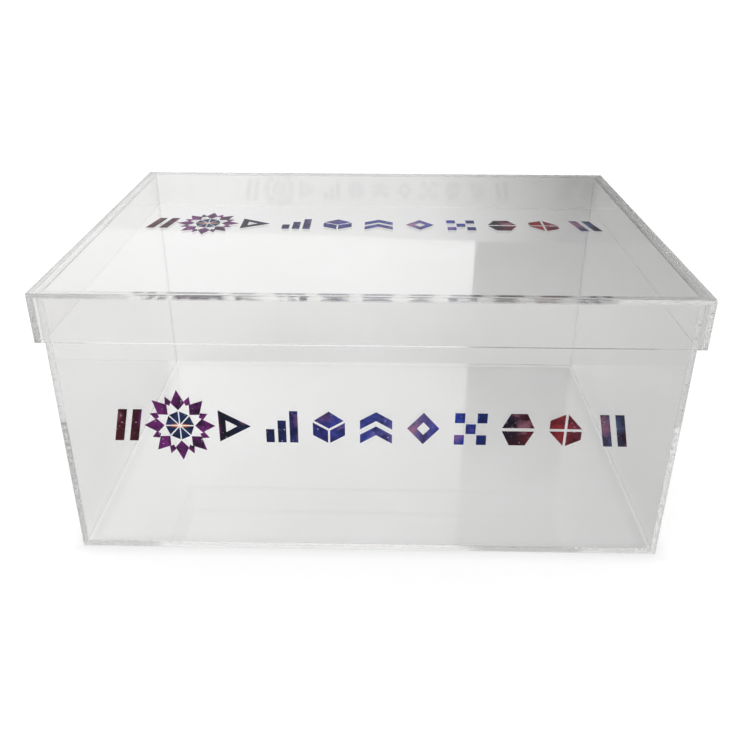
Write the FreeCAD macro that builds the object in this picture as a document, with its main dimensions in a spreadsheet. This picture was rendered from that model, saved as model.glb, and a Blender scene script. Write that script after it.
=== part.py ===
import FreeCAD
import Part
import Sketcher
import math
import os

# A clear shoe box made of flat acrylic sheet, and its lift-off lid.
#
# Frame: the origin is the middle of the footprint on the underside of the floor panel.
# +X is to the right along the long side, +Y is to the back and +Z is up.
# The front is the long side at -Y, which carries the printed band.
#
# The walls stand on the floor panel.  The front and back panels run the full length and the
# two end panels stand between them.  Each joint has a film of cement of its own thickness.
# The lid's top panel covers four rim strips laid out in the same way, rests on the upper edges
# of the walls, and its rim hangs round them with a small clearance.

DIMENSIONS = [
    # alias, millimetres
    ("body_length", 356.0),  # outside of the body, left to right
    ("body_width", 254.0),  # outside of the body, front to back
    ("body_height", 168.0),  # underside of the floor to the upper edges of the walls
    ("sheet", 3.0),  # thickness of every acrylic sheet
    ("cement", 0.1),  # thickness of the cement film in each joint
    ("lid_clearance", 1.0),  # gap between the rim and the wall, on each side
    ("lid_depth", 29.0),  # upper face of the lid to the lower edge of its rim
    ("arris", 0.3),  # chamfer that takes the sharpness off every exposed long edge
    ("ink", 0.1),  # thickness of the printed film
    ("shape_width", 18.5),  # one small printed shape
    ("shape_height", 21.0),
    ("shape_pitch", 27.1),  # from one small shape to the next
    ("row_start", -76.9),  # middle of the first shape to the right of the star
    ("outer_shape", -138.3),  # middle of the shape at the left end
    ("star_centre", -108.7),  # middle of the star, along the row
    ("star_width", 41.0),
    ("star_height", 47.0),
    ("front_print_level", 88.5),  # height of the row's middle line on the front panel
    ("lid_print_offset", -5.0),  # the row's middle line on the lid, forward of its middle
]

LID_LENGTH = "(Dims.body_length + 2 * Dims.lid_clearance + 2 * Dims.sheet)"
LID_WIDTH = "(Dims.body_width + 2 * Dims.lid_clearance + 2 * Dims.sheet)"
WALL_HEIGHT = "(Dims.body_height - Dims.sheet - Dims.cement)"
WALL_LEVEL = f"(Dims.body_height - {WALL_HEIGHT} / 2)"
RIM_HEIGHT = "(Dims.lid_depth - Dims.sheet - Dims.cement)"
RIM_LEVEL = f"(Dims.body_height - Dims.cement - {RIM_HEIGHT} / 2)"

# The printed shapes, each in a cell one unit wide and one unit high about its own middle.
# A shape is a list of closed outlines, and an outline inside another one is a hole in it.
SLASHES = [
    [(-0.50, -0.50), (-0.22, -0.50), (0.02, 0.50), (-0.26, 0.50)],
    [(-0.04, -0.50), (0.24, -0.50), (0.48, 0.50), (0.20, 0.50)],
]
RISING_BARS = [
    [(-0.50, -0.50), (-0.24, -0.50), (-0.24, -0.08), (-0.50, -0.08)],
    [(-0.13, -0.50), (0.13, -0.50), (0.13, 0.20), (-0.13, 0.20)],
    [(0.24, -0.50), (0.50, -0.50), (0.50, 0.50), (0.24, 0.50)],
]
TRIANGLE_RING = [
    [(-0.50, -0.50), (0.50, 0.00), (-0.50, 0.50)],
    [(-0.28, -0.19), (0.08, 0.00), (-0.28, 0.19)],
]
CUBE = [
    [(0.00, -0.04), (-0.46, 0.21), (0.00, 0.50), (0.46, 0.21)],
    [(-0.50, 0.15), (-0.50, -0.25), (-0.03, -0.50), (-0.03, -0.10)],
    [(0.50, 0.15), (0.03, -0.10), (0.03, -0.50), (0.50, -0.25)],
]
ROOFS = [
    [(-0.50, -0.50), (-0.50, -0.22), (0.00, 0.05), (0.50, -0.22), (0.50, -0.50), (0.00, -0.23)],
    [(-0.50, -0.05), (-0.50, 0.23), (0.00, 0.50), (0.50, 0.23), (0.50, -0.05), (0.00, 0.22)],
]
DIAMOND_RING = [
    [(0.00, -0.50), (0.50, 0.00), (0.00, 0.50), (-0.50, 0.00)],
    [(0.00, -0.20), (0.20, 0.00), (0.00, 0.20), (-0.20, 0.00)],
]
CHECKERS = [
    [(-0.50, 0.19), (-0.19, 0.19), (-0.19, 0.50), (-0.50, 0.50)],
    [(0.19, 0.19), (0.50, 0.19), (0.50, 0.50), (0.19, 0.50)],
    [(-0.155, -0.155), (0.155, -0.155), (0.155, 0.155), (-0.155, 0.155)],
    [(-0.50, -0.50), (-0.19, -0.50), (-0.19, -0.19), (-0.50, -0.19)],
    [(0.19, -0.50), (0.50, -0.50), (0.50, -0.19), (0.19, -0.19)],
]
SPLIT_HEXAGON = [
    [(-0.50, 0.05), (0.50, 0.05), (0.25, 0.50), (-0.25, 0.50)],
    [(-0.50, -0.05), (-0.25, -0.50), (0.25, -0.50), (0.50, -0.05)],
]
PINWHEEL = [
    [(0.04, 0.04), (0.04, 0.50), (0.50, 0.04)],
    [(-0.04, 0.50), (-0.04, 0.04), (-0.50, 0.04), (-0.50, 0.30)],
    [(-0.04, -0.04), (-0.04, -0.50), (-0.50, -0.04)],
    [(0.04, -0.50), (0.04, -0.04), (0.50, -0.04), (0.50, -0.30)],
]
BACK_SLASHES = [[(-x, y) for x, y in outline] for outline in SLASHES]


def radial(outline, angle):
    """An outline given as (radius, degrees off the angle), as points in the cell."""
    turned = [(radius, math.radians(angle + offset)) for radius, offset in outline]
    return [(round(r * math.cos(a), 4), round(r * math.sin(a), 4)) for r, a in turned]


# The star: long and short kite-shaped rays in turn, about a core of eight wedges.
LONG_RAY = [(0.215, 0), (0.33, -17), (0.50, 0), (0.33, 17)]
SHORT_RAY = [(0.30, 0), (0.35, -8), (0.44, 0), (0.35, 8)]
WEDGE = [(0.02, 0), (0.20, -20), (0.20, 20)]
STAR = []
for step in range(8):
    STAR.append(radial(LONG_RAY, 45 * step))
    STAR.append(radial(SHORT_RAY, 45 * step + 22.5))
    STAR.append(radial(WEDGE, 45 * step + 22.5))

ROW = [
    TRIANGLE_RING,
    RISING_BARS,
    CUBE,
    ROOFS,
    DIAMOND_RING,
    CHECKERS,
    SPLIT_HEXAGON,
    PINWHEEL,
    BACK_SLASHES,
]

doc = FreeCAD.newDocument("shoe_box")
dims = doc.addObject("Spreadsheet::Sheet", "Dims")
for row, (alias, value) in enumerate(DIMENSIONS, start=1):
    dims.set(f"A{row}", alias)
    dims.set(f"B{row}", str(value))
    dims.setAlias(f"B{row}", alias)
doc.recompute()

sub_parts = []


def number(expression):
    """The present value of an expression of the sheet's cells."""
    return float(dims.evalExpression(expression))


def closed_outline(sketch, points):
    """Adds a closed outline of straight lines through points, and returns its first line."""
    first = sketch.GeometryCount
    vectors = [FreeCAD.Vector(x, y, 0) for x, y in points]
    for start, end in zip(vectors, vectors[1:] + vectors[:1]):
        sketch.addGeometry(Part.LineSegment(start, end), False)
    count = len(points)
    for i in range(count):
        after = first + (i + 1) % count
        sketch.addConstraint(Sketcher.Constraint("Coincident", first + i, 2, after, 1))
    return first


def bind(sketch, kind, line, value, expression):
    """Holds the start of a line at a distance from the sketch's origin, set by an expression."""
    index = sketch.addConstraint(Sketcher.Constraint(kind, -1, 1, line, 1, value))
    sketch.setExpression(f"Constraints[{index}]", expression)


def place(thing, position):
    """Puts a sub-part's origin at three expressions of the sheet's cells."""
    for axis, expression in zip("xyz", position):
        thing.setExpression(f"Placement.Base.{axis}", expression)


def add_board(label, plane_role, across, along, thickness, position):
    """A rectangular board about its own middle: its outline on an origin plane, padded both ways."""
    body = doc.addObject("PartDesign::Body", label)
    body.Label = label
    plane = next(f for f in body.Origin.OriginFeatures if f.Role == plane_role)
    sketch = body.newObject("Sketcher::SketchObject", f"{label}_outline")
    sketch.AttachmentSupport = [(plane, "")]
    sketch.MapMode = "FlatFace"
    half_across, half_along = number(across) / 2, number(along) / 2
    corners = [(-1, -1), (1, -1), (1, 1), (-1, 1)]
    first = closed_outline(sketch, [(x * half_across, y * half_along) for x, y in corners])
    for line, (x, y) in enumerate(corners, start=first):
        bind(sketch, "DistanceX", line, x * half_across, f"{x} * {across} / 2")
        bind(sketch, "DistanceY", line, y * half_along, f"{y} * {along} / 2")
    pad = body.newObject("PartDesign::Pad", f"{label}_pad")
    pad.Profile = sketch
    pad.SideType = "Symmetric"
    pad.setExpression("Length", thickness)
    sketch.Visibility = False
    place(body, position)
    doc.recompute()
    sub_parts.append(body)
    return body


def break_edges(body, exposed):
    """Chamfers a board's exposed edges.  Each entry of exposed is the axis that the edges run along,
    the axis that tells them from the others, and which end of that axis they are at: -1 or 1."""
    pad = body.Tip
    middle = pad.Shape.BoundBox.Center
    names = []
    for index, edge in enumerate(pad.Shape.Edges, start=1):
        run = edge.Vertexes[-1].Point - edge.Vertexes[0].Point
        offset = edge.CenterOfMass - middle
        for run_axis, side_axis, side in exposed:
            if abs(getattr(run, run_axis)) > 1 and getattr(offset, side_axis) * side > 1e-6:
                names.append(f"Edge{index}")
    chamfer = body.newObject("PartDesign::Chamfer", f"{body.Label}_arris")
    chamfer.Base = (pad, names)
    chamfer.setExpression("Size", "Dims.arris")
    volume = pad.Shape.Volume
    doc.recompute()
    if not chamfer.Shape.Volume < volume:
        raise RuntimeError(f"the chamfers of {body.Label} took nothing off")


def add_print(label, rotation, position):
    """The printed row as thin separate films, drawn flat and then turned onto its panel."""
    films = []
    cells = [(SLASHES, "Dims.outer_shape", "Dims.shape_width", "Dims.shape_height")]
    cells.append((STAR, "Dims.star_centre", "Dims.star_width", "Dims.star_height"))
    for i, shape in enumerate(ROW):
        centre = f"(Dims.row_start + {i} * Dims.shape_pitch)"
        cells.append((shape, centre, "Dims.shape_width", "Dims.shape_height"))
    for i, (shape, centre, width, height) in enumerate(cells):
        sketch = doc.addObject("Sketcher::SketchObject", f"{label}_shape_{i}")
        for outline in shape:
            across = [f"{centre} + {u} * {width}" for u, _ in outline]
            upright = [f"{v} * {height}" for _, v in outline]
            points = [(number(x), number(y)) for x, y in zip(across, upright)]
            first = closed_outline(sketch, points)
            for k, (x, y) in enumerate(points):
                bind(sketch, "DistanceX", first + k, x, across[k])
                bind(sketch, "DistanceY", first + k, y, upright[k])
        film = doc.addObject("Part::Extrusion", f"{label}_film_{i}")
        film.Base = sketch
        film.DirMode = "Normal"
        film.Solid = True
        film.setExpression("LengthFwd", "Dims.ink")
        films.append(film)
    group = doc.addObject("Part::Compound", label)
    group.Label = label
    group.Links = films
    group.Placement = FreeCAD.Placement(FreeCAD.Vector(), rotation)
    place(group, position)
    doc.recompute()
    sub_parts.append(group)


# The two halves of the box are framed alike: four upright boards round a rectangle.
# name of the half, outer length, outer width, boards' height, level of their middle,
# the words for one upright board, and the side of a board that stays sharp because it is cemented
FRAMES = [
    ("body", "Dims.body_length", "Dims.body_width", WALL_HEIGHT, WALL_LEVEL, "panel", -1),
    ("lid", LID_LENGTH, LID_WIDTH, RIM_HEIGHT, RIM_LEVEL, "rim", 1),
]

for half, length, width, height, level, word, cemented in FRAMES:
    y_board = f"({width} - Dims.sheet) / 2"
    x_board = f"({length} - Dims.sheet) / 2"
    between = f"({width} - 2 * Dims.sheet - 2 * Dims.cement)"
    y_joint = f"({width} / 2 - Dims.sheet - Dims.cement / 2)"
    free = -cemented
    for side, sign in (("front", -1), ("back", 1)):
        board = add_board(
            f"{half}_{side}_{word}", "XZ_Plane", length, height, "Dims.sheet",
            ("0", f"{sign} * {y_board}", level),
        )
        break_edges(board, [("x", "z", free), ("z", "y", sign)])
    for side, sign in (("left", -1), ("right", 1)):
        board = add_board(
            f"{half}_{side}_{word}", "YZ_Plane", between, height, "Dims.sheet",
            (f"{sign} * {x_board}", "0", level),
        )
        break_edges(board, [("y", "z", free)])
    for y_side, y_sign in (("front", -1), ("back", 1)):
        for x_side, x_sign in (("left", -1), ("right", 1)):
            add_board(
                f"{half}_corner_seam_{y_side}_{x_side}", "XZ_Plane", "Dims.sheet", height,
                "Dims.cement", (f"{x_sign} * {x_board}", f"{y_sign} * {y_joint}", level),
            )
    seam_level = f"{level} + {cemented} * ({height} + Dims.cement) / 2"
    flat_word = "floor" if half == "body" else "top"
    for side, sign in (("front", -1), ("back", 1)):
        add_board(
            f"{half}_{flat_word}_seam_{side}", "XY_Plane", length, "Dims.sheet", "Dims.cement",
            ("0", f"{sign} * {y_board}", seam_level),
        )
    for side, sign in (("left", -1), ("right", 1)):
        add_board(
            f"{half}_{flat_word}_seam_{side}", "XY_Plane", "Dims.sheet",
            f"({width} - 2 * Dims.sheet)", "Dims.cement",
            (f"{sign} * {x_board}", "0", seam_level),
        )

floor = add_board(
    "body_floor_panel", "XY_Plane", "Dims.body_length", "Dims.body_width", "Dims.sheet",
    ("0", "0", "Dims.sheet / 2"),
)
break_edges(floor, [("x", "z", -1), ("y", "z", -1)])

top = add_board(
    "lid_top_panel", "XY_Plane", LID_LENGTH, LID_WIDTH, "Dims.sheet",
    ("0", "0", "Dims.body_height + Dims.sheet / 2"),
)
break_edges(top, [("x", "z", 1), ("y", "z", 1)])

upright = FreeCAD.Rotation(FreeCAD.Vector(1, 0, 0), 90)
add_print("front_print", upright, ("0", "-Dims.body_width / 2", "Dims.front_print_level"))
flat = FreeCAD.Rotation()
add_print("lid_print", flat, ("0", "Dims.lid_print_offset", "Dims.body_height + Dims.sheet"))

doc.recompute()
for item in doc.Objects:
    if "Invalid" in item.State or "Error" in item.State:
        raise RuntimeError(f"{item.Label} did not recompute: {item.State}")
for item in sub_parts:
    if item.Shape.isNull() or not item.Shape.isValid():
        raise RuntimeError(f"{item.Label} has no valid shape")

os.makedirs("parts", exist_ok=True)
for item in sub_parts:
    item.Shape.exportStep(os.path.join("parts", f"{item.Label}.step"))
    box = item.Shape.BoundBox
    spans = (box.XMin, box.XMax, box.YMin, box.YMax, box.ZMin, box.ZMax)
    print(f"{item.Label:34s}", len(item.Shape.Solids), *(f"{span:9.2f}" for span in spans))
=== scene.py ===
import math
import random

import bmesh
import bpy
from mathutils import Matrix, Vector, noise


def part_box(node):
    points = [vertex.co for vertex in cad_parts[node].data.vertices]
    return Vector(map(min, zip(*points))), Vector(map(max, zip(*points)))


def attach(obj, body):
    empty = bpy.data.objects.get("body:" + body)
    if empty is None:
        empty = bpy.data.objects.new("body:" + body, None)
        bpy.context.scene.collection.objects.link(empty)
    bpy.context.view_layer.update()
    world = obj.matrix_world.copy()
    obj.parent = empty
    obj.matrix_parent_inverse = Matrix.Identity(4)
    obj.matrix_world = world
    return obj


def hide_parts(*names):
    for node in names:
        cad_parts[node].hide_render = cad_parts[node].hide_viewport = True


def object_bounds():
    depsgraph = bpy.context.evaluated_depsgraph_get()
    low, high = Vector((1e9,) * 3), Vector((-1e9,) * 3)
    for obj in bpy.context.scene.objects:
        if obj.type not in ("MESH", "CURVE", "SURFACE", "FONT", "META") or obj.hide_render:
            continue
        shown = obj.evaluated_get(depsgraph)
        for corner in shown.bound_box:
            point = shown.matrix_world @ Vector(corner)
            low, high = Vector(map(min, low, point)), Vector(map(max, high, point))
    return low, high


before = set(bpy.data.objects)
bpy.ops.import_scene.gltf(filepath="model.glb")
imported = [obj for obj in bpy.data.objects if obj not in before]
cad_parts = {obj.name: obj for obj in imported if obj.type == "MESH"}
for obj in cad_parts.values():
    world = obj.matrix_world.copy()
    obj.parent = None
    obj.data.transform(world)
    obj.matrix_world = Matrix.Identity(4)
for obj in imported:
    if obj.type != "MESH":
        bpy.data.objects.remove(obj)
cad_low, cad_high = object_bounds()

# A clear shoe box: ten acrylic sheets, sixteen seams of cement between them, and two printed rows.
# The lid rides on the body "lid" and everything else on the body "box".

MM = 0.001
MICRON = 0.000001
Y, Z = 1, 2  # the axes that the sheets' cemented sides and trims name

# ---------------------------------------------------------------------------------------------
# Shader nodes
# ---------------------------------------------------------------------------------------------


def new_material(name):
    """A material with one Principled shader: the material, its node tree and the shader."""
    material = bpy.data.materials.new(name)
    material.use_nodes = True
    return material, material.node_tree, material.node_tree.nodes["Principled BSDF"]


def node(tree, kind, inputs=None, **settings):
    """Adds a node. An input is given a socket to link from, or a plain value."""
    made = tree.nodes.new(kind)
    for key, value in settings.items():
        setattr(made, key, value)
    for key, value in (inputs or {}).items():
        if isinstance(value, bpy.types.NodeSocket):
            tree.links.new(value, made.inputs[key])
        else:
            made.inputs[key].default_value = value
    return made


def object_coordinates(tree):
    return node(tree, "ShaderNodeTexCoord").outputs["Object"]


def separate(tree, vector):
    """The X, Y and Z of a vector."""
    return node(tree, "ShaderNodeSeparateXYZ", {"Vector": vector}).outputs


def combine(tree, x, y=0.0):
    """A vector from its X and Y."""
    return node(tree, "ShaderNodeCombineXYZ", {"X": x, "Y": y}).outputs[0]


def maths(tree, operation, *values):
    """The result of a Math node."""
    return node(tree, "ShaderNodeMath", dict(enumerate(values)), operation=operation).outputs[0]


def length_of(tree, vector):
    return node(tree, "ShaderNodeVectorMath", {0: vector}, operation="LENGTH").outputs["Value"]


def noise_texture(tree, vector, scale, detail=3.0, roughness=0.5, distortion=0.0):
    values = {"Vector": vector, "Scale": scale, "Detail": detail, "Roughness": roughness}
    values["Distortion"] = distortion
    return node(tree, "ShaderNodeTexNoise", values).outputs["Fac"]


def remap(tree, value, low, high, to_low, to_high):
    """A number taken from one range to another, and held at its ends."""
    values = {"Value": value, "From Min": low, "From Max": high}
    values["To Min"] = to_low
    values["To Max"] = to_high
    return node(tree, "ShaderNodeMapRange", values).outputs["Result"]


def ramp(tree, factor, stops):
    """A colour ramp through stops of (position, (red, green, blue))."""
    made = node(tree, "ShaderNodeValToRGB", {"Fac": factor})
    elements = made.color_ramp.elements
    while len(elements) < len(stops):
        elements.new(0.5)
    for element, (position, colour) in zip(elements, stops):
        element.position = position
        element.color = (*colour, 1.0)
    return made.outputs["Color"]


def profile(tree, value, stops):
    """A plain number that follows stops of (value, result)."""
    first, last = stops[0][0], stops[-1][0]
    place = remap(tree, value, first, last, 0.0, 1.0)
    greys = [((at - first) / (last - first), (result,) * 3) for at, result in stops]
    return ramp(tree, place, greys)


def mix(tree, factor, first, second, blend="MIX"):
    """The second colour mixed into the first. A colour is a socket or (red, green, blue)."""
    colours = [c if isinstance(c, bpy.types.NodeSocket) else (*c, 1.0) for c in (first, second)]
    values = {0: factor, 6: colours[0], 7: colours[1]}
    return node(tree, "ShaderNodeMix", values, data_type="RGBA", blend_type=blend).outputs[2]


def mix_numbers(tree, factor, first, second):
    return node(tree, "ShaderNodeMix", {0: factor, 2: first, 3: second}).outputs[0]


def bump(tree, shader, height, distance):
    values = {"Height": height, "Distance": distance, "Strength": 1.0}
    made = node(tree, "ShaderNodeBump", values)
    tree.links.new(made.outputs["Normal"], shader.inputs["Normal"])


# ---------------------------------------------------------------------------------------------
# Materials of the sheets and the cement
# ---------------------------------------------------------------------------------------------

ACRYLIC_IOR = 1.49
MARKS_DEPTH = 0.03 * MICRON  # of the tool marks that flame polishing leaves


def clear_plastic(shader, clear=1.0):
    shader.inputs["Transmission Weight"].default_value = clear
    shader.inputs["IOR"].default_value = ACRYLIC_IOR


def face_material():
    """The polished faces of the sheet: clear, with a trace of tint and a few soft smudges."""
    material, tree, shader = new_material("acrylic_face")
    clear_plastic(shader)
    where = object_coordinates(tree)
    cloud = noise_texture(tree, where, 14.0)
    tint = ramp(tree, cloud, [(0.3, (0.968, 0.966, 0.963)), (0.7, (0.992, 0.991, 0.989))])
    tree.links.new(tint, shader.inputs["Base Color"])
    smudge = noise_texture(tree, where, 34.0, 5.0, 0.62, 0.6)
    tree.links.new(remap(tree, smudge, 0.45, 0.75, 0.02, 0.06), shader.inputs["Roughness"])
    ripple = noise_texture(tree, where, 260.0, 2.0)
    bump(tree, shader, ripple, 1 * MICRON)
    return material


def edge_material(name, clear, roughness, tint, marks_scale):
    """A flame-polished edge of the sheet: clear, with the ghost of slanting tool marks. clear is
    the share of light that is let through, and roughness and tint are each a (low, high) pair."""
    material, tree, shader = new_material(name)
    clear_plastic(shader, clear)
    where = object_coordinates(tree)
    parts = separate(tree, where)
    along = maths(tree, "ADD", maths(tree, "ADD", parts["X"], parts["Y"]), parts["Z"])
    marks = noise_texture(tree, combine(tree, along), marks_scale, 3.0, 0.6)
    patches = noise_texture(tree, where, 45.0)
    dark, pale = tint
    tree.links.new(ramp(tree, patches, [(0.35, dark), (0.65, pale)]), shader.inputs["Base Color"])
    tree.links.new(remap(tree, patches, 0.35, 0.65, *roughness), shader.inputs["Roughness"])
    bump(tree, shader, marks, MARKS_DEPTH)
    return material


def cement_material():
    """Solvent cement: a little milky and uneven where it dried in the open."""
    material, tree, shader = new_material("cement_bead")
    clear_plastic(shader, 0.8)
    cloud = noise_texture(tree, object_coordinates(tree), 300.0)
    tint = ramp(tree, cloud, [(0.35, (0.95, 0.955, 0.94)), (0.65, (0.99, 0.99, 0.985))])
    tree.links.new(tint, shader.inputs["Base Color"])
    tree.links.new(remap(tree, cloud, 0.3, 0.7, 0.02, 0.10), shader.inputs["Roughness"])
    bump(tree, shader, cloud, 2 * MICRON)
    return material


def bubble_material():
    """The silvery skin of air trapped in the cement."""
    material, tree, shader = new_material("trapped_air")
    shader.inputs["Metallic"].default_value = 1.0
    cloud = noise_texture(tree, object_coordinates(tree), 420.0, 2.0)
    tint = ramp(tree, cloud, [(0.35, (0.86, 0.865, 0.85)), (0.65, (0.98, 0.98, 0.97))])
    tree.links.new(tint, shader.inputs["Base Color"])
    tree.links.new(remap(tree, cloud, 0.3, 0.7, 0.08, 0.2), shader.inputs["Roughness"])
    bump(tree, shader, cloud, 4 * MICRON)
    return material


FACE = face_material()
CUT_EDGE = edge_material(
    "acrylic_edge",
    clear=0.88,
    roughness=(0.10, 0.14),
    tint=((0.985, 0.990, 0.975), (0.996, 0.998, 0.990)),
    marks_scale=3200.0,
)
WET_EDGE = edge_material(
    "acrylic_joint",
    clear=1.0,
    roughness=(0.0, 0.03),
    tint=((0.988, 0.992, 0.982), (0.997, 0.998, 0.994)),
    marks_scale=1500.0,
)
CEMENT = cement_material()
AIR = bubble_material()

# ---------------------------------------------------------------------------------------------
# Printed rows: the CAD films keep their shape and get a night-sky ink
# ---------------------------------------------------------------------------------------------

SKY_SPAN = (-0.150, 0.152)  # the row's ends, in x
SKY_SWAY = 0.016  # how far the colours drift along the row
SKY = [
    (0.00, (0.060, 0.006, 0.012)),
    (0.07, (0.045, 0.005, 0.014)),
    (0.13, (0.090, 0.012, 0.100)),
    (0.22, (0.006, 0.008, 0.020)),
    (0.32, (0.010, 0.016, 0.080)),
    (0.40, (0.030, 0.035, 0.210)),
    (0.50, (0.048, 0.068, 0.330)),
    (0.58, (0.160, 0.120, 0.270)),
    (0.66, (0.015, 0.045, 0.330)),
    (0.75, (0.008, 0.008, 0.030)),
    (0.80, (0.050, 0.008, 0.016)),
    (0.86, (0.250, 0.024, 0.030)),
    (0.92, (0.080, 0.035, 0.075)),
    (0.97, (0.050, 0.075, 0.150)),
    (1.00, (0.060, 0.010, 0.020)),
]
CLOUDS = [(0.36, (0.16, 0.15, 0.2)), (0.62, (1.25, 1.2, 1.25))]
DUSTY_PINK = (0.42, 0.17, 0.24)
STAR_CENTRE = -0.1087  # the middle of the star, in x
STAR_EDGE = (23.2 * MM, 24.2 * MM)  # radii over which the star's own colours end
CORE_EDGE = (9.0 * MM, 9.7 * MM)
PETALS = [(0.34, (0.012, 0.004, 0.02)), (0.66, (0.20, 0.022, 0.20))]
CORE = [(0.36, (0.004, 0.006, 0.016)), (0.66, (0.02, 0.045, 0.16))]
STREAK = [(0.25, (0.16, 0.03, 0.03)), (0.7, (0.75, 0.24, 0.07)), (1.0, (0.95, 0.8, 0.6))]
STREAK_TILT = math.radians(38)
STREAK_EDGE = (0.5 * MM, 3.4 * MM)
PIN_STAR = (0.85, 0.88, 0.95)


def night_sky(tree, art, x, cloud):
    """The sky's colours along the row. A finer cloud drops parts of it to near black, and dust
    lifts others to a dusty pink."""
    drift = noise_texture(tree, art, 38.0, 4.0, 0.6)
    sway = remap(tree, drift, 0.0, 1.0, -SKY_SWAY, SKY_SWAY)
    place = remap(tree, maths(tree, "ADD", x, sway), *SKY_SPAN, 0.0, 1.0)
    sky = mix(tree, 0.85, ramp(tree, place, SKY), ramp(tree, cloud, CLOUDS), "MULTIPLY")
    dust = noise_texture(tree, art, 62.0, 4.0, 0.55, 0.5)
    return mix(tree, remap(tree, dust, 0.57, 0.70, 0.0, 0.55), sky, DUSTY_PINK)


def star_colours(tree, own, cloud, sky):
    """The star's own colours: magenta rays, a navy core and a warm streak across it. own is the
    place on the print, seen from the star's middle."""
    radius = length_of(tree, own)
    petals = ramp(tree, cloud, PETALS)
    colour = mix(tree, remap(tree, radius, *STAR_EDGE, 1.0, 0.0), sky, petals)
    core = ramp(tree, cloud, CORE)
    colour = mix(tree, remap(tree, radius, *CORE_EDGE, 1.0, 0.0), colour, core)
    tilt = node(tree, "ShaderNodeMapping", {"Vector": own, "Rotation": (0, 0, STREAK_TILT)})
    tilt.inputs["Scale"].default_value = (0.42, 1.9, 1.0)
    streak = remap(tree, length_of(tree, tilt.outputs[0]), *STREAK_EDGE, 1.0, 0.0)
    glow = ramp(tree, streak, STREAK)
    return mix(tree, remap(tree, streak, 0.0, 0.35, 0.0, 1.0), colour, glow)


def pin_stars(tree, art, sky):
    """A few cells of a fine cell pattern hold a pale dot."""
    cells = node(tree, "ShaderNodeTexVoronoi", {"Vector": art, "Scale": 620.0})
    dot = remap(tree, cells.outputs["Distance"], 0.10, 0.30, 1.0, 0.0)
    pick = node(tree, "ShaderNodeSeparateColor", {"Color": cells.outputs["Color"]}).outputs[0]
    pick = remap(tree, pick, 0.80, 1.0, 0.0, 0.75)
    return mix(tree, maths(tree, "MULTIPLY", dot, pick), sky, PIN_STAR)


def ink_material(name, up_axis, row_level):
    """The printed film, the same on both rows. up_axis is the axis across the row, and row_level
    is the place of the row's middle line on it."""
    material, tree, shader = new_material(name)
    parts = separate(tree, object_coordinates(tree))
    rise = maths(tree, "SUBTRACT", parts[up_axis], row_level)
    art = combine(tree, parts["X"], rise)
    cloud = noise_texture(tree, art, 120.0, 5.0, 0.62, 0.8)
    sky = night_sky(tree, art, parts["X"], cloud)
    own = combine(tree, maths(tree, "SUBTRACT", parts["X"], STAR_CENTRE), rise)
    sky = star_colours(tree, own, cloud, sky)
    sky = pin_stars(tree, art, sky)
    tree.links.new(sky, shader.inputs["Base Color"])
    shader.inputs["Specular IOR Level"].default_value = 0.15
    grain = noise_texture(tree, art, 1500.0, 2.0)
    tree.links.new(remap(tree, grain, 0.3, 0.7, 0.24, 0.42), shader.inputs["Roughness"])
    bump(tree, shader, grain, 15 * MICRON)
    return material


for node_name, up_axis, row_level in (("front_print", "Z", 0.0885), ("lid_print", "Y", -0.005)):
    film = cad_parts[node_name]
    film.data.materials.clear()
    film.data.materials.append(ink_material(node_name + "_ink", up_axis, row_level))

# ---------------------------------------------------------------------------------------------
# Acrylic sheets
# ---------------------------------------------------------------------------------------------

ARRIS = 0.3 * MM  # radius of an edge that a hand can touch
JOINT_ARRIS = 0.04 * MM  # radius of an edge that is cemented
GRID = 9.0 * MM  # spacing of the faces' grid
WAVE = 0.05 * MM  # how far a face wanders from flat
FLAT_RIM = 4 * MM  # the strip along a face's sides that stays flat
WAVE_RISE = 22 * MM  # inside it, the width over which the wandering grows to its full size
CREASE = math.radians(8)  # a flat meets its neighbour in a visible crease above this angle
FLAT = 0.999  # the least that a flat's normal has along its main axis


def wander(point, seed):
    """A smooth random height, from about -1 to 1, for a point of a face."""
    shifted = Vector(point) * 11.0 + Vector((seed * 3.7, seed * 1.9, seed * 5.3))
    return noise.noise(shifted) + 0.4 * noise.noise(shifted * 2.3)


def facing(face):
    """The axis that a face looks along, and its sign."""
    axis = max(range(3), key=lambda a: abs(face.normal[a]))
    return axis, 1 if face.normal[axis] > 0 else -1


def draw_box(mesh, low, high, cemented):
    """Makes the mesh a sharp box whose edges carry the weights of their rounding."""
    shape = bmesh.new()
    bmesh.ops.create_cube(shape, size=1.0)
    size = high - low
    for vertex in shape.verts:
        vertex.co = [
            (low[axis] + high[axis]) / 2 + vertex.co[axis] * size[axis] for axis in range(3)
        ]
    weight = shape.edges.layers.float.new("bevel_weight_edge")
    for edge in shape.edges:
        joined = any(facing(face) in cemented for face in edge.link_faces)
        edge[weight] = JOINT_ARRIS / ARRIS if joined else 1.0
    shape.to_mesh(mesh)
    shape.free()


def rounded(piece):
    """The shape of a piece with its edges rounded by their weights."""
    rounding = piece.modifiers.new("rounding", "BEVEL")
    rounding.limit_method = "WEIGHT"
    rounding.width = ARRIS
    rounding.segments = 3
    graph = bpy.context.evaluated_depsgraph_get()
    mesh = bpy.data.meshes.new_from_object(piece.evaluated_get(graph))
    piece.modifiers.clear()
    shape = bmesh.new()
    shape.from_mesh(mesh)
    bpy.data.meshes.remove(mesh)
    return shape


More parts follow.
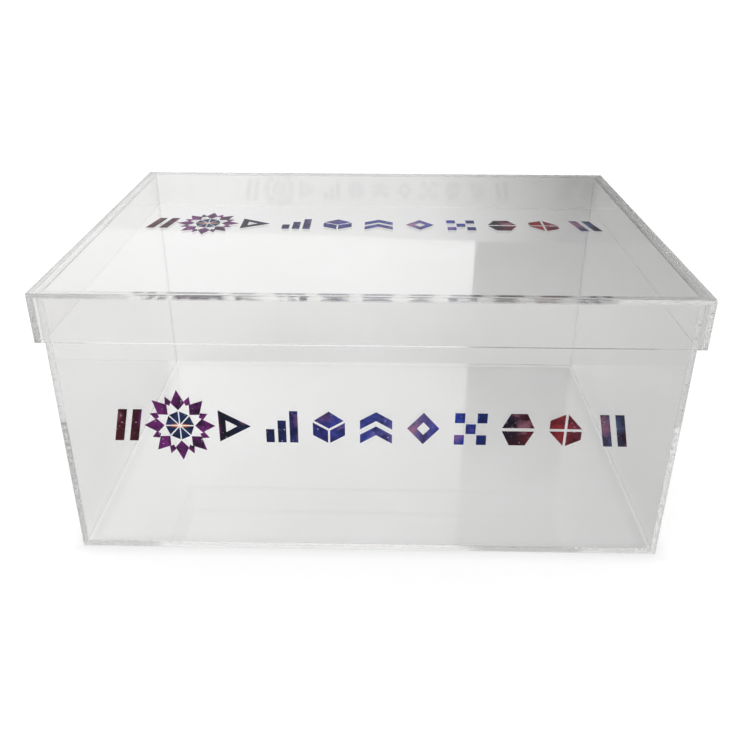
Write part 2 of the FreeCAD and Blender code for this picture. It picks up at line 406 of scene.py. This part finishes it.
def cut_grid(shape, low, high, thin):
    """Cuts a grid across the sheet, so that its faces can wander a little from flat."""
    size = high - low
    for axis in range(3):
        if axis == thin:
            continue
        count = max(2, round(size[axis] / GRID))
        normal = Vector((axis == 0, axis == 1, axis == 2))
        for i in range(1, count):
            point = Vector(low)
            point[axis] += size[axis] * i / count
            geometry = shape.verts[:] + shape.edges[:] + shape.faces[:]
            bmesh.ops.bisect_plane(shape, geom=geometry, dist=1e-7, plane_co=point, plane_no=normal)


def ripple_faces(shape, low, high, thin, seed):
    """Moves the grid's points off the flat by a little, each face in its own way."""
    for vertex in shape.verts:
        inside = min(
            min(vertex.co[axis] - low[axis], high[axis] - vertex.co[axis])
            for axis in range(3) if axis != thin
        )
        side = 1 if vertex.co[thin] > (low[thin] + high[thin]) / 2 else -1
        fade = min(1.0, max(0.0, (inside - FLAT_RIM) / WAVE_RISE))
        fade *= fade * (3 - 2 * fade)
        vertex.co[thin] += WAVE * fade * wander(vertex.co, seed + 0.37 * side)


def finish_faces(shape, thin, cemented):
    """Gives faces, cut edges and cemented edges their materials, in the order of MATERIALS, and
    keeps the border of a flat crisp."""
    for face in shape.faces:
        face.smooth = True
        axis, sign = facing(face)
        if axis == thin:
            face.material_index = 0
        else:
            face.material_index = 2 if (axis, sign) in cemented else 1
    for edge in shape.edges:
        if len(edge.link_faces) == 2:
            flats = [max(abs(c) for c in face.normal) > FLAT for face in edge.link_faces]
            edge.smooth = not (edge.calc_face_angle() > CREASE and any(flats))


MATERIALS = (FACE, CUT_EDGE, WET_EDGE)


def sheet(node_name, body, cemented, seed, trims=()):
    """One flat sheet of acrylic in the place of a CAD node. cemented lists its cemented sides as
    (axis, sign), and trims moves sides by (axis, sign, distance outwards)."""
    low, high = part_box(node_name)
    for axis, sign, distance in trims:
        (high if sign > 0 else low)[axis] += sign * distance
    thin = min(range(3), key=lambda axis: high[axis] - low[axis])
    mesh = bpy.data.meshes.new(node_name + "_sheet")
    draw_box(mesh, low, high, cemented)
    piece = bpy.data.objects.new(node_name + "_sheet", mesh)
    bpy.context.scene.collection.objects.link(piece)
    shape = rounded(piece)
    cut_grid(shape, low, high, thin)
    ripple_faces(shape, low, high, thin, seed)
    finish_faces(shape, thin, cemented)
    shape.to_mesh(mesh)
    shape.free()
    for material in MATERIALS:
        mesh.materials.append(material)
    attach(piece, body)
    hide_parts(node_name)


SINK = 0.02 * MM  # the printed film bites this far into its sheet
GAP = 0.03 * MM  # between the lid and the walls that it rests on
# The cement joins two sheets into one clear solid: a standing sheet reaches through the seam and
# a hair into the sheet that it is cemented to, so that light passes from one to the other.
BITE = 0.12 * MM

LONG_WALL = [(Z, 1, -GAP), (Z, -1, BITE)]
END_WALL = LONG_WALL + [(Y, -1, BITE), (Y, 1, BITE)]
LONG_RIM = [(Z, 1, BITE)]
END_RIM = LONG_RIM + [(Y, -1, BITE), (Y, 1, BITE)]
sheet("body_floor_panel", "box", {(Z, 1)}, 1)
sheet("body_front_panel", "box", {(Z, -1), (Y, 1)}, 2, [(Y, -1, SINK)] + LONG_WALL)
sheet("body_back_panel", "box", {(Z, -1), (Y, -1)}, 3, LONG_WALL)
sheet("body_left_panel", "box", {(Z, -1), (Y, -1), (Y, 1)}, 4, END_WALL)
sheet("body_right_panel", "box", {(Z, -1), (Y, -1), (Y, 1)}, 5, END_WALL)
sheet("lid_top_panel", "lid", {(Z, -1)}, 6, [(Z, 1, SINK)])
sheet("lid_front_rim", "lid", {(Z, 1), (Y, 1)}, 7, LONG_RIM)
sheet("lid_back_rim", "lid", {(Z, 1), (Y, -1)}, 8, LONG_RIM)
sheet("lid_left_rim", "lid", {(Z, 1), (Y, -1), (Y, 1)}, 9, END_RIM)
sheet("lid_right_rim", "lid", {(Z, 1), (Y, -1), (Y, 1)}, 10, END_RIM)

# ---------------------------------------------------------------------------------------------
# Cement seams
# ---------------------------------------------------------------------------------------------

BEAD_STEP = 3.0 * MM
BEAD_END = 1.4 * MM  # the bead stops short of the corner where three sheets meet
BEAD_SIZE = (0.62, 0.5)  # the bead's mean size and how far it varies, as shares of its reach
BEAD_TIP = (0.35, 12.0)  # its size at the tips, and how fast it grows away from them
OVERLAP = 0.01 * MM  # the bead reaches this far into the sheets
CURVE = 5  # points across the bead's hollow face
BEAD_CREASE = math.radians(40)
PROUD = 0.02 * MM  # a bubble reaches past the faces of the seam by this much
LEAST_LENGTH = 0.35  # half the length of the smallest bubble, in mm
LEAST_WIDTH = 0.3  # half the width of the narrowest bubble, in mm
MOST_WIDTH = 1.15  # and of the widest
SIDE_MARGIN = 0.15 * MM  # between a bubble and the sides of its seam
END_MARGIN = 0.5 * MM  # and the ends
CROWDING = 0.85  # the closest that two bubbles come, as a share of their half lengths added up


def face_outwards(shape, faces):
    """Turns the faces of one closed shell outwards."""
    bmesh.ops.recalc_face_normals(shape, faces=faces)
    start = faces[0].verts[0].co
    volume = 0.0
    for face in faces:
        face.normal_update()
        volume += (face.calc_center_median() - start).dot(face.normal) * face.calc_area()
    if volume < 0:
        bmesh.ops.reverse_faces(shape, faces=faces)


def bead_outline(size):
    """The bead's cross-section, as distances into the corner from its two sheets."""
    outline = [(-OVERLAP, -OVERLAP)]
    for k in range(CURVE):
        angle = math.pi / 2 * k / (CURVE - 1)
        outline.append((size * (1 - math.sin(angle)), size * (1 - math.cos(angle))))
    outline[1] = (outline[1][0], -OVERLAP)
    outline[-1] = (-OVERLAP, outline[-1][1])
    return outline


def add_bead(shape, corner, inwards, run, low_run, high_run, reach, seed):
    """A hollow-faced fillet of cement along an inner corner, of uneven size, closed at its ends.
    corner and inwards give the corner's place and the way in, along the two other axes."""
    axes = sorted(corner)
    length = high_run - low_run - 2 * BEAD_END
    count = max(4, round(length / BEAD_STEP))
    mean, swing = BEAD_SIZE
    tip, growth = BEAD_TIP
    rings = []
    for i in range(count + 1):
        at = low_run + BEAD_END + length * i / count
        size = reach * (mean + swing * noise.noise(Vector((at * 60, seed * 3.1, 0))))
        size *= min(1.0, tip + growth * min(i, count - i) / count)
        ring = []
        for offsets in bead_outline(size):
            point = Vector((0, 0, 0))
            point[run] = at
            for axis, offset in zip(axes, offsets):
                point[axis] = corner[axis] + inwards[axis] * offset
            ring.append(shape.verts.new(point))
        rings.append(ring)
    faces = []
    sides = len(rings[0])
    for here, there in zip(rings, rings[1:]):
        for k in range(sides):
            after = (k + 1) % sides
            faces.append(shape.faces.new([here[k], here[after], there[after], there[k]]))
    faces.append(shape.faces.new(rings[0][::-1]))
    faces.append(shape.faces.new(rings[-1]))
    for face in faces[:-2]:
        face.smooth = True
    face_outwards(shape, faces)
    for edge in {edge for face in faces for edge in face.edges}:
        edge.smooth = edge.calc_face_angle() < BEAD_CREASE


def add_bubble(shape, centre, axes, sizes):
    """One flattened bubble, of half sizes along axes."""
    made = bmesh.ops.create_icosphere(shape, subdivisions=2, radius=1.0)["verts"]
    for vertex in made:
        offset = vertex.co.copy()
        vertex.co = centre
        for axis, share, size in zip(axes, offset, sizes):
            vertex.co[axis] += share * size
    faces = list({face for vertex in made for face in vertex.link_faces})
    for face in faces:
        face.material_index = 1
        face.smooth = True
    face_outwards(shape, faces)


def seam(node_name, body, seed, reach, clusters):
    """The cement between two sheets: a bead of that reach in the inner corner, and bubbles trapped
    in the joint. clusters lists (start, end, count, largest): its ends as fractions of the seam,
    the most bubbles that it may hold, and half the length of the largest one in mm."""
    draw = random.Random(seed)
    low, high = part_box(node_name)
    size = high - low
    thin, wide, run = sorted(range(3), key=lambda axis: size[axis])
    middle = (cad_low + cad_high) / 2
    inwards = {}
    for axis in (thin, wide):
        inwards[axis] = 1 if middle[axis] > (low[axis] + high[axis]) / 2 else -1
    corner = {
        thin: low[thin] if inwards[thin] > 0 else high[thin],
        wide: high[wide] if inwards[wide] > 0 else low[wide],
    }
    shape = bmesh.new()
    add_bead(shape, corner, inwards, run, low[run], high[run], reach, seed)
    taken = []
    for start, end, count, largest in clusters:
        for _ in range(count):
            share = start + (end - start) * draw.random()
            length = (LEAST_LENGTH + (largest - LEAST_LENGTH) * draw.random() ** 1.2) * MM
            width = min(MOST_WIDTH, LEAST_WIDTH + 0.9 * draw.random() * largest) * MM
            centre = Vector((0, 0, 0))
            centre[run] = low[run] + size[run] * share
            spare = size[wide] / 2 - width - SIDE_MARGIN
            centre[wide] = low[wide] + size[wide] / 2 + spare * (2 * draw.random() - 1)
            centre[thin] = (low[thin] + high[thin]) / 2
            margin = length + END_MARGIN
            if not low[run] + margin < centre[run] < high[run] - margin:
                continue
            if any((centre - other).length < CROWDING * (length + half) for other, half in taken):
                continue
            taken.append((centre, length))
            depth = size[thin] / 2 + PROUD
            add_bubble(shape, centre, (run, wide, thin), (length, width, depth))
    mesh = bpy.data.meshes.new(node_name + "_cement")
    shape.to_mesh(mesh)
    shape.free()
    for material in (CEMENT, AIR):
        mesh.materials.append(material)
    piece = bpy.data.objects.new(node_name + "_cement", mesh)
    bpy.context.scene.collection.objects.link(piece)
    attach(piece, body)
    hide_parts(node_name)


UPRIGHT = [(0.02, 0.98, 9, 0.6)]
FLOOR_FRONT = [
    (0.93, 0.993, 14, 1.4),
    (0.86, 0.93, 10, 1.1),
    (0.10, 0.17, 8, 0.6),
    (0.20, 0.85, 6, 0.6),
]
FLOOR_SIDE = [(0.02, 0.98, 16, 0.9)]
LID_CORNER = [(0.05, 0.95, 5, 0.6)]
LID_TOP = [(0.02, 0.98, 7, 0.6)]
FLOOR_BEAD = 0.13 * MM
OTHER_BEAD = 0.12 * MM
for seed, corner in ((21, "front_left"), (22, "front_right"), (23, "back_left"), (24, "back_right")):
    seam("body_corner_seam_" + corner, "box", seed, OTHER_BEAD, UPRIGHT)
    seam("lid_corner_seam_" + corner, "lid", seed + 10, OTHER_BEAD, LID_CORNER)
for seed, side in ((41, "front"), (42, "back"), (43, "left"), (44, "right")):
    clusters = FLOOR_FRONT if side == "front" else FLOOR_SIDE
    seam("body_floor_seam_" + side, "box", seed, FLOOR_BEAD, clusters)
    seam("lid_top_seam_" + side, "lid", seed + 10, OTHER_BEAD, LID_TOP)

# ---------------------------------------------------------------------------------------------
# Studio: camera, world, floor and the cards that the sheets reflect
# ---------------------------------------------------------------------------------------------

WORLD_SIDES = (1.08, 0.55)  # radiance of the walls, to the left and to the right
SIDES_AT = (-0.8, 0.8)  # the left and right parts of a direction where the walls reach them
WORLD_OVERHEAD = 1.25
OVERHEAD_AT = (0.45, 0.95)  # the upward parts of a direction between which the ceiling takes over
GLOW = [(-0.35, 0.50), (0.0, 0.47), (0.21, 0.30), (0.35, 0.20)]  # painted light: the floor's glow, by x, brighter to the left where more light falls
GLOW_UNDER = [(-0.17, 0.24), (0.0, 0.15), (0.17, 0.175)]  # painted pool of light: what is added to the glow under the box, where the sheets gather light
UNDER_EDGE = (-12 * MM, 10 * MM)  # where that ends, as distances out of the box's footprint
GLOW_WALLS = 0.15  # painted light lines: what is added under the walls, which carry light down to the table
WALL_MIDDLE = 1.5 * MM  # from the footprint's edge in to the middle of a wall
WALL_EDGE = (2 * MM, 3 * MM)  # where the glow under a wall ends, to both sides of its middle
GLOW_BARE = 0.74  # the glow of the floor that the camera sees bare
CONTACT_SHADOW = 0.12  # painted contact shadow: how much the bare glow dims right beside the box, in a band of the reach below
CONTACT_SHADOW_REACH = 10 * MM
FLOOR_BOUNCE = 0.28  # what the far floor sends back without its glow
FADE = (0.9, 5.0)  # distances from the box over which the floor fades into the walls
FLOOR_REACH = 40.0
FLOOR_LEVEL = -0.3 * MM
RIM_OVERHANG = 4 * MM  # the lid reaches past the box's footprint by this much on each side
WHITE = (1.0, 1.0, 1.0, 1.0)

scene = bpy.context.scene
scene.view_settings.view_transform = "Standard"
scene.cycles.max_bounces = 96
scene.cycles.transmission_bounces = 96
scene.cycles.glossy_bounces = 96
scene.cycles.transparent_max_bounces = 32

camera = bpy.data.objects.new("camera", bpy.data.cameras.new("camera"))
scene.collection.objects.link(camera)
scene.camera = camera
camera.location = (0.00609, -0.53196, 0.33564)
camera.rotation_euler = [math.radians(angle) for angle in (63.0056, -0.1191, 1.2103)]
camera.data.sensor_width = 36.0
camera.data.lens = 40.627
camera.data.clip_start = 0.01
camera.data.clip_end = 200.0


def seen_by_camera(tree):
    """1 where the camera sees the thing directly, and 0 where it is seen through or in a sheet."""
    return node(tree, "ShaderNodeLightPath").outputs["Is Camera Ray"]


def set_world():
    """A white room, brighter to the left and overhead, and pure white behind the box."""
    world = bpy.data.worlds.new("studio")
    scene.world = world
    world.use_nodes = True
    tree = world.node_tree
    background = tree.nodes["Background"]
    parts = separate(tree, node(tree, "ShaderNodeTexCoord").outputs["Generated"])
    walls = remap(tree, parts["X"], *SIDES_AT, *WORLD_SIDES)
    overhead = remap(tree, parts["Z"], *OVERHEAD_AT, 0.0, 1.0)
    strength = mix_numbers(tree, overhead, walls, WORLD_OVERHEAD)
    strength = mix_numbers(tree, seen_by_camera(tree), strength, 1.0)
    tree.links.new(strength, background.inputs["Strength"])
    background.inputs["Color"].default_value = WHITE


def outside_footprint(tree, parts):
    """How far a point of the floor is outside the box's footprint, and negative inside it."""
    past = []
    for axis, half in (("X", cad_high.x - RIM_OVERHANG), ("Y", cad_high.y - RIM_OVERHANG)):
        past.append(maths(tree, "SUBTRACT", maths(tree, "ABSOLUTE", parts[axis]), half))
    return maths(tree, "MAXIMUM", *past)


def floor_material():
    """Pale paper that glows a little by itself, painted light that stands in for a lit tabletop:
    more to the left, a painted pool of light under the box where the sheets gather light, painted
    light lines under the walls, a painted contact shadow right beside the box, and most where the
    camera sees it bare."""
    material, tree, shader = new_material("floor_paper")
    where = object_coordinates(tree)
    fibres = noise_texture(tree, where, 900.0)
    shades = [(0.3, (0.32, 0.32, 0.32)), (0.7, (0.36, 0.36, 0.36))]
    tree.links.new(ramp(tree, fibres, shades), shader.inputs["Base Color"])
    shader.inputs["Roughness"].default_value = 0.9
    shader.inputs["Specular IOR Level"].default_value = 0.2
    shader.inputs["Emission Color"].default_value = WHITE
    parts = separate(tree, where)
    outside = outside_footprint(tree, parts)
    # Painted pool of light under the box, and painted light lines under its walls.
    under = remap(tree, outside, *UNDER_EDGE, 1.0, 0.0)
    added = profile(tree, parts["X"], GLOW_UNDER)
    glow = maths(tree, "MULTIPLY_ADD", under, added, profile(tree, parts["X"], GLOW))
    off_wall = maths(tree, "ABSOLUTE", maths(tree, "ADD", outside, WALL_MIDDLE))
    glow = maths(tree, "ADD", glow, remap(tree, off_wall, *WALL_EDGE, GLOW_WALLS, 0.0))
    # Far away the floor fades to the brightness of the walls, so no horizon shows through the box.
    distance = length_of(tree, where)
    bearing = maths(tree, "DIVIDE", parts["X"], distance)
    far_sides = [radiance - FLOOR_BOUNCE for radiance in WORLD_SIDES]
    far_glow = remap(tree, bearing, *SIDES_AT, *far_sides)
    glow = mix_numbers(tree, remap(tree, distance, *FADE, 0.0, 1.0), glow, far_glow)
    # Painted contact shadow: the bare floor's glow dims right beside the box.
    bare = remap(tree, outside, 0.0, CONTACT_SHADOW_REACH, GLOW_BARE - CONTACT_SHADOW, GLOW_BARE)
    glow = mix_numbers(tree, seen_by_camera(tree), glow, bare)
    tree.links.new(glow, shader.inputs["Emission Strength"])
    return material


def flat_mesh(name, corners, material):
    """A flat four-cornered piece of the stage."""
    mesh = bpy.data.meshes.new(name)
    mesh.from_pydata(corners, [], [(0, 1, 2, 3)])
    mesh.materials.append(material)
    made = bpy.data.objects.new(name, mesh)
    scene.collection.objects.link(made)
    return made


def card(name, left, right, low, high, y, stops, upper):
    """An upright glowing card behind the box, seen only in reflections. low is the height of its
    lower edge at its left and right ends, stops are (x, radiance), and upper scales the radiance
    of the part above about 1.1 m."""
    material = bpy.data.materials.new(name)
    material.use_nodes = True
    tree = material.node_tree
    tree.nodes.clear()
    parts = separate(tree, object_coordinates(tree))
    place = remap(tree, parts["X"], left, right, 0.0, 1.0)
    # The colours stay below 1 at half the radiance, and the strength makes up for it.
    colours = [((at - left) / (right - left), (v / 2,) * 3) for at, v in stops]
    strength = remap(tree, parts["Z"], 1.0, 1.2, 2.0, 2.0 * upper)
    values = {"Color": ramp(tree, place, colours), "Strength": strength}
    glow = node(tree, "ShaderNodeEmission", values)
    out = node(tree, "ShaderNodeOutputMaterial")
    tree.links.new(glow.outputs[0], out.inputs[0])
    corners = [(left, y, low[0]), (right, y, low[1]), (right, y, high), (left, y, high)]
    made = flat_mesh(name, corners, material)
    made.visible_camera = False
    made.visible_shadow = False
    made.visible_diffuse = False


set_world()
SQUARE = [(-1, -1), (1, -1), (1, 1), (-1, 1)]
floor_corners = [(x * FLOOR_REACH, y * FLOOR_REACH, FLOOR_LEVEL) for x, y in SQUARE]
flat_mesh("floor", floor_corners, floor_material())

# The cards stand one behind another: a bright one to the left, a dark one to the right of EDGE_X,
# which draws the straight border on the lid and the front, and a strip below them both.
LEFT, EDGE_X, RIGHT = -2.0, 0.26, 2.5
BRIGHT = [(LEFT, 1.08), (EDGE_X, 1.18)]
STRIP = [(-0.5, 0.94), (-0.08, 0.79), (0.13, 0.75), (0.367, 0.38), (0.5, 0.14)]
DARK = [(EDGE_X, 0.22), (RIGHT, 0.17)]
card("card_bright", LEFT, EDGE_X, low=(0.654, 0.716), high=1.9, y=1.6, stops=BRIGHT, upper=0.88)
card("card_strip", LEFT, RIGHT, low=(0.5, 0.5), high=0.72, y=1.61, stops=STRIP, upper=1.0)
card("card_dark", EDGE_X, RIGHT, low=(0.71, 0.71), high=2.2, y=1.62, stops=DARK, upper=2.4)
